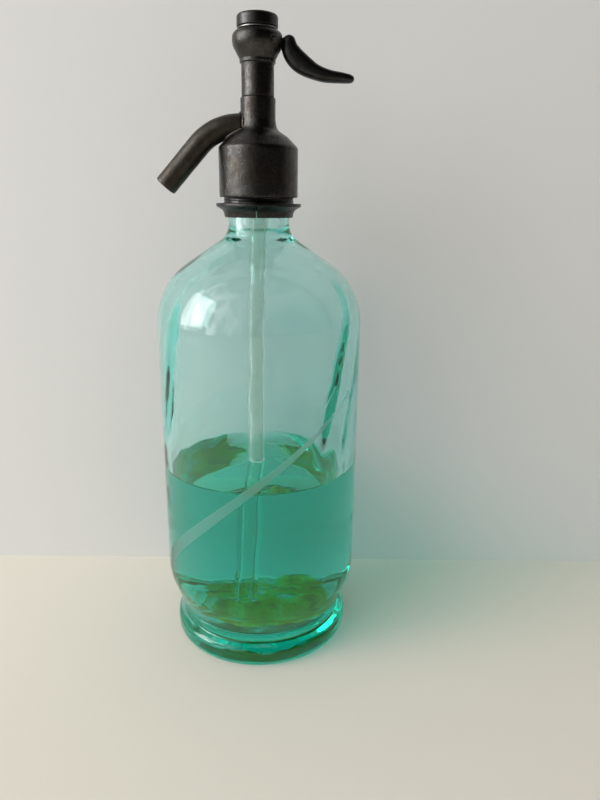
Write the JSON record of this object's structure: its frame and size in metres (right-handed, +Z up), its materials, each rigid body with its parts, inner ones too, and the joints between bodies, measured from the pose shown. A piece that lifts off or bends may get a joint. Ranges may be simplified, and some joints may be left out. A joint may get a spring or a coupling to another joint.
{
  "type": "soda siphon",
  "caption": "Tall teal glass siphon bottle, part full, with a pewter head: curved spout, ball with a thumb lever, screwed cap and a sprung valve over a dip tube.",
  "frame": {"origin": "centre of the bottle's foot, on the surface it stands on", "axes": "+Z up along the bottle's axis, -X towards the spout, +X towards the lever, -Y towards the viewer of the picture"},
  "size_m": [0.1, 0.1, 0.3054],
  "materials": {
    "teal_glass": "clear, tinted through its depth",
    "milky_glass": "pale, slightly milky",
    "water": "clear",
    "pewter": "worn, dull, fine pits",
    "pewter_dark": "dark and dull",
    "pewter_bright": "rubbed bright",
    "brass": "dull",
    "rubber": "matte",
    "leather": "greased",
    "steel": "dull",
    "spring_steel": "drawn wire"
  },
  "bodies": {
    "bottle_and_head": {"bottle": "teal_glass", "water": "water", "dip_tube": "milky_glass", "dip_tube_washer": "rubber", "neck_gasket": "rubber", "collar_left": "pewter_dark", "collar_right": "pewter_dark", "bell_casting": "pewter", "spout": "pewter", "valve_seat": "brass", "lever_housing": "pewter", "packing_washer": "leather", "packing_nut": "brass", "return_spring": "spring_steel", "cap_ring": "pewter_bright", "cap": "pewter_dark", "lever_pin": "steel"},
    "valve": {"valve_stem": "brass", "valve_cup": "brass", "valve_pad": "rubber", "valve_screw": "brass"},
    "lever": {"lever": "pewter_dark"}
  },
  "joints": [
    {"name": "lever_press", "type": "hinge", "parent": "bottle_and_head", "child": "lever", "pos_m": [0.0076, 0, 0.29365], "axis": [0, 1, 0], "range_deg": [0, 14], "stiffness_Nm_per_rad": 0.085, "springref_deg": -26.36},
    {"name": "valve_lift", "type": "slide", "parent": "bottle_and_head", "child": "valve", "axis": [0, 0, 1], "range_m": [0, 0.0019], "deforming": ["return_spring"]}
  ],
  "couplings": [
    {"joint": "valve_lift", "follows": "lever_press", "m_per_rad": 0.0075}
  ]
}
